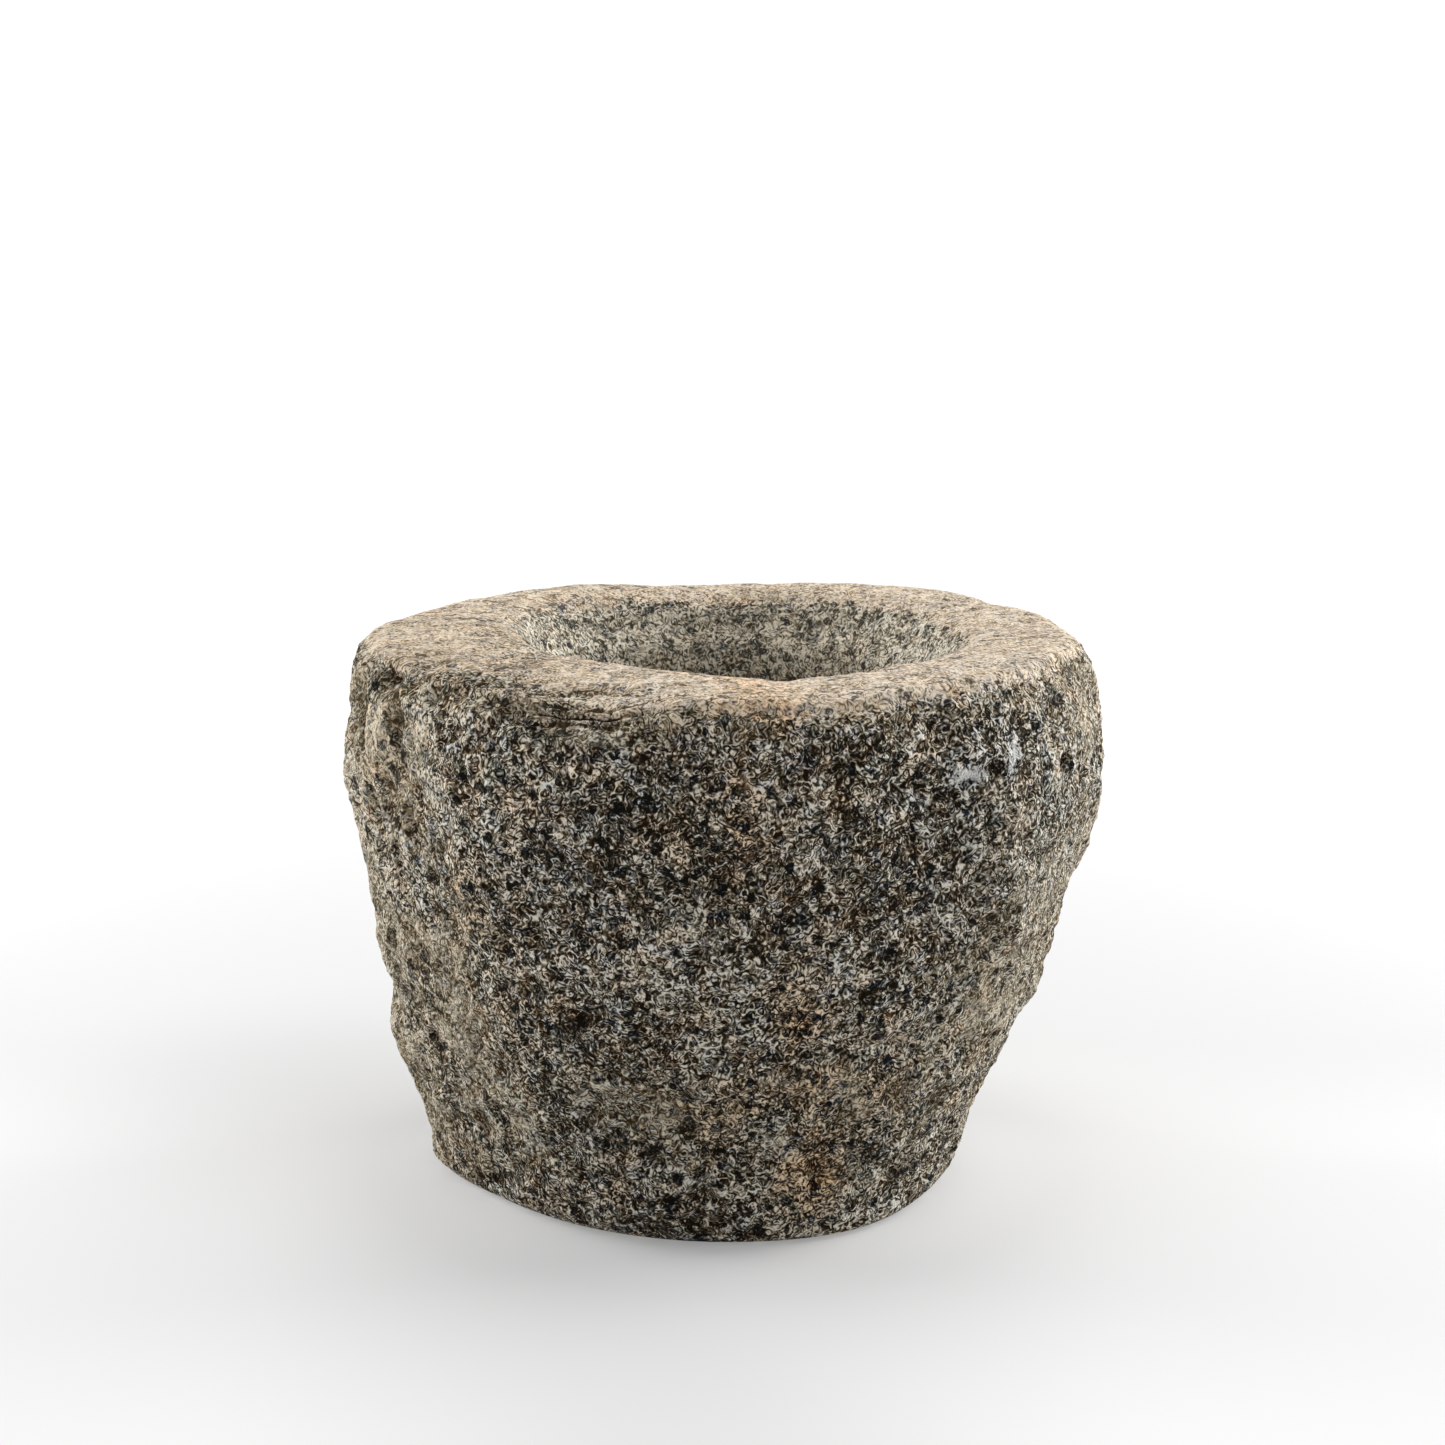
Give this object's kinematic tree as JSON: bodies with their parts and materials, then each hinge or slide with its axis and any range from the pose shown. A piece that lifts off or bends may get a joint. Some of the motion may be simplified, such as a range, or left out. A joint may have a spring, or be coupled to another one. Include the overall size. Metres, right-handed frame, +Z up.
{
  "type": "stone mortar",
  "caption": "Hand-hewn granite mortar carved from a solid block, with a broad worn rim, a deep ground basin and a flat foot.",
  "frame": {"origin": "centre of the footprint's bounding box, on the face that the mortar stands on", "axes": "+Z up out of the basin, +X to the right and -Y towards a viewer in front"},
  "size_m": [0.205, 0.1962, 0.1513],
  "materials": {
    "granite": "rough hewn, weathered, rim worn smooth"
  },
  "bodies": {
    "root": {"mortar": "granite"}
  },
  "joints": []
}
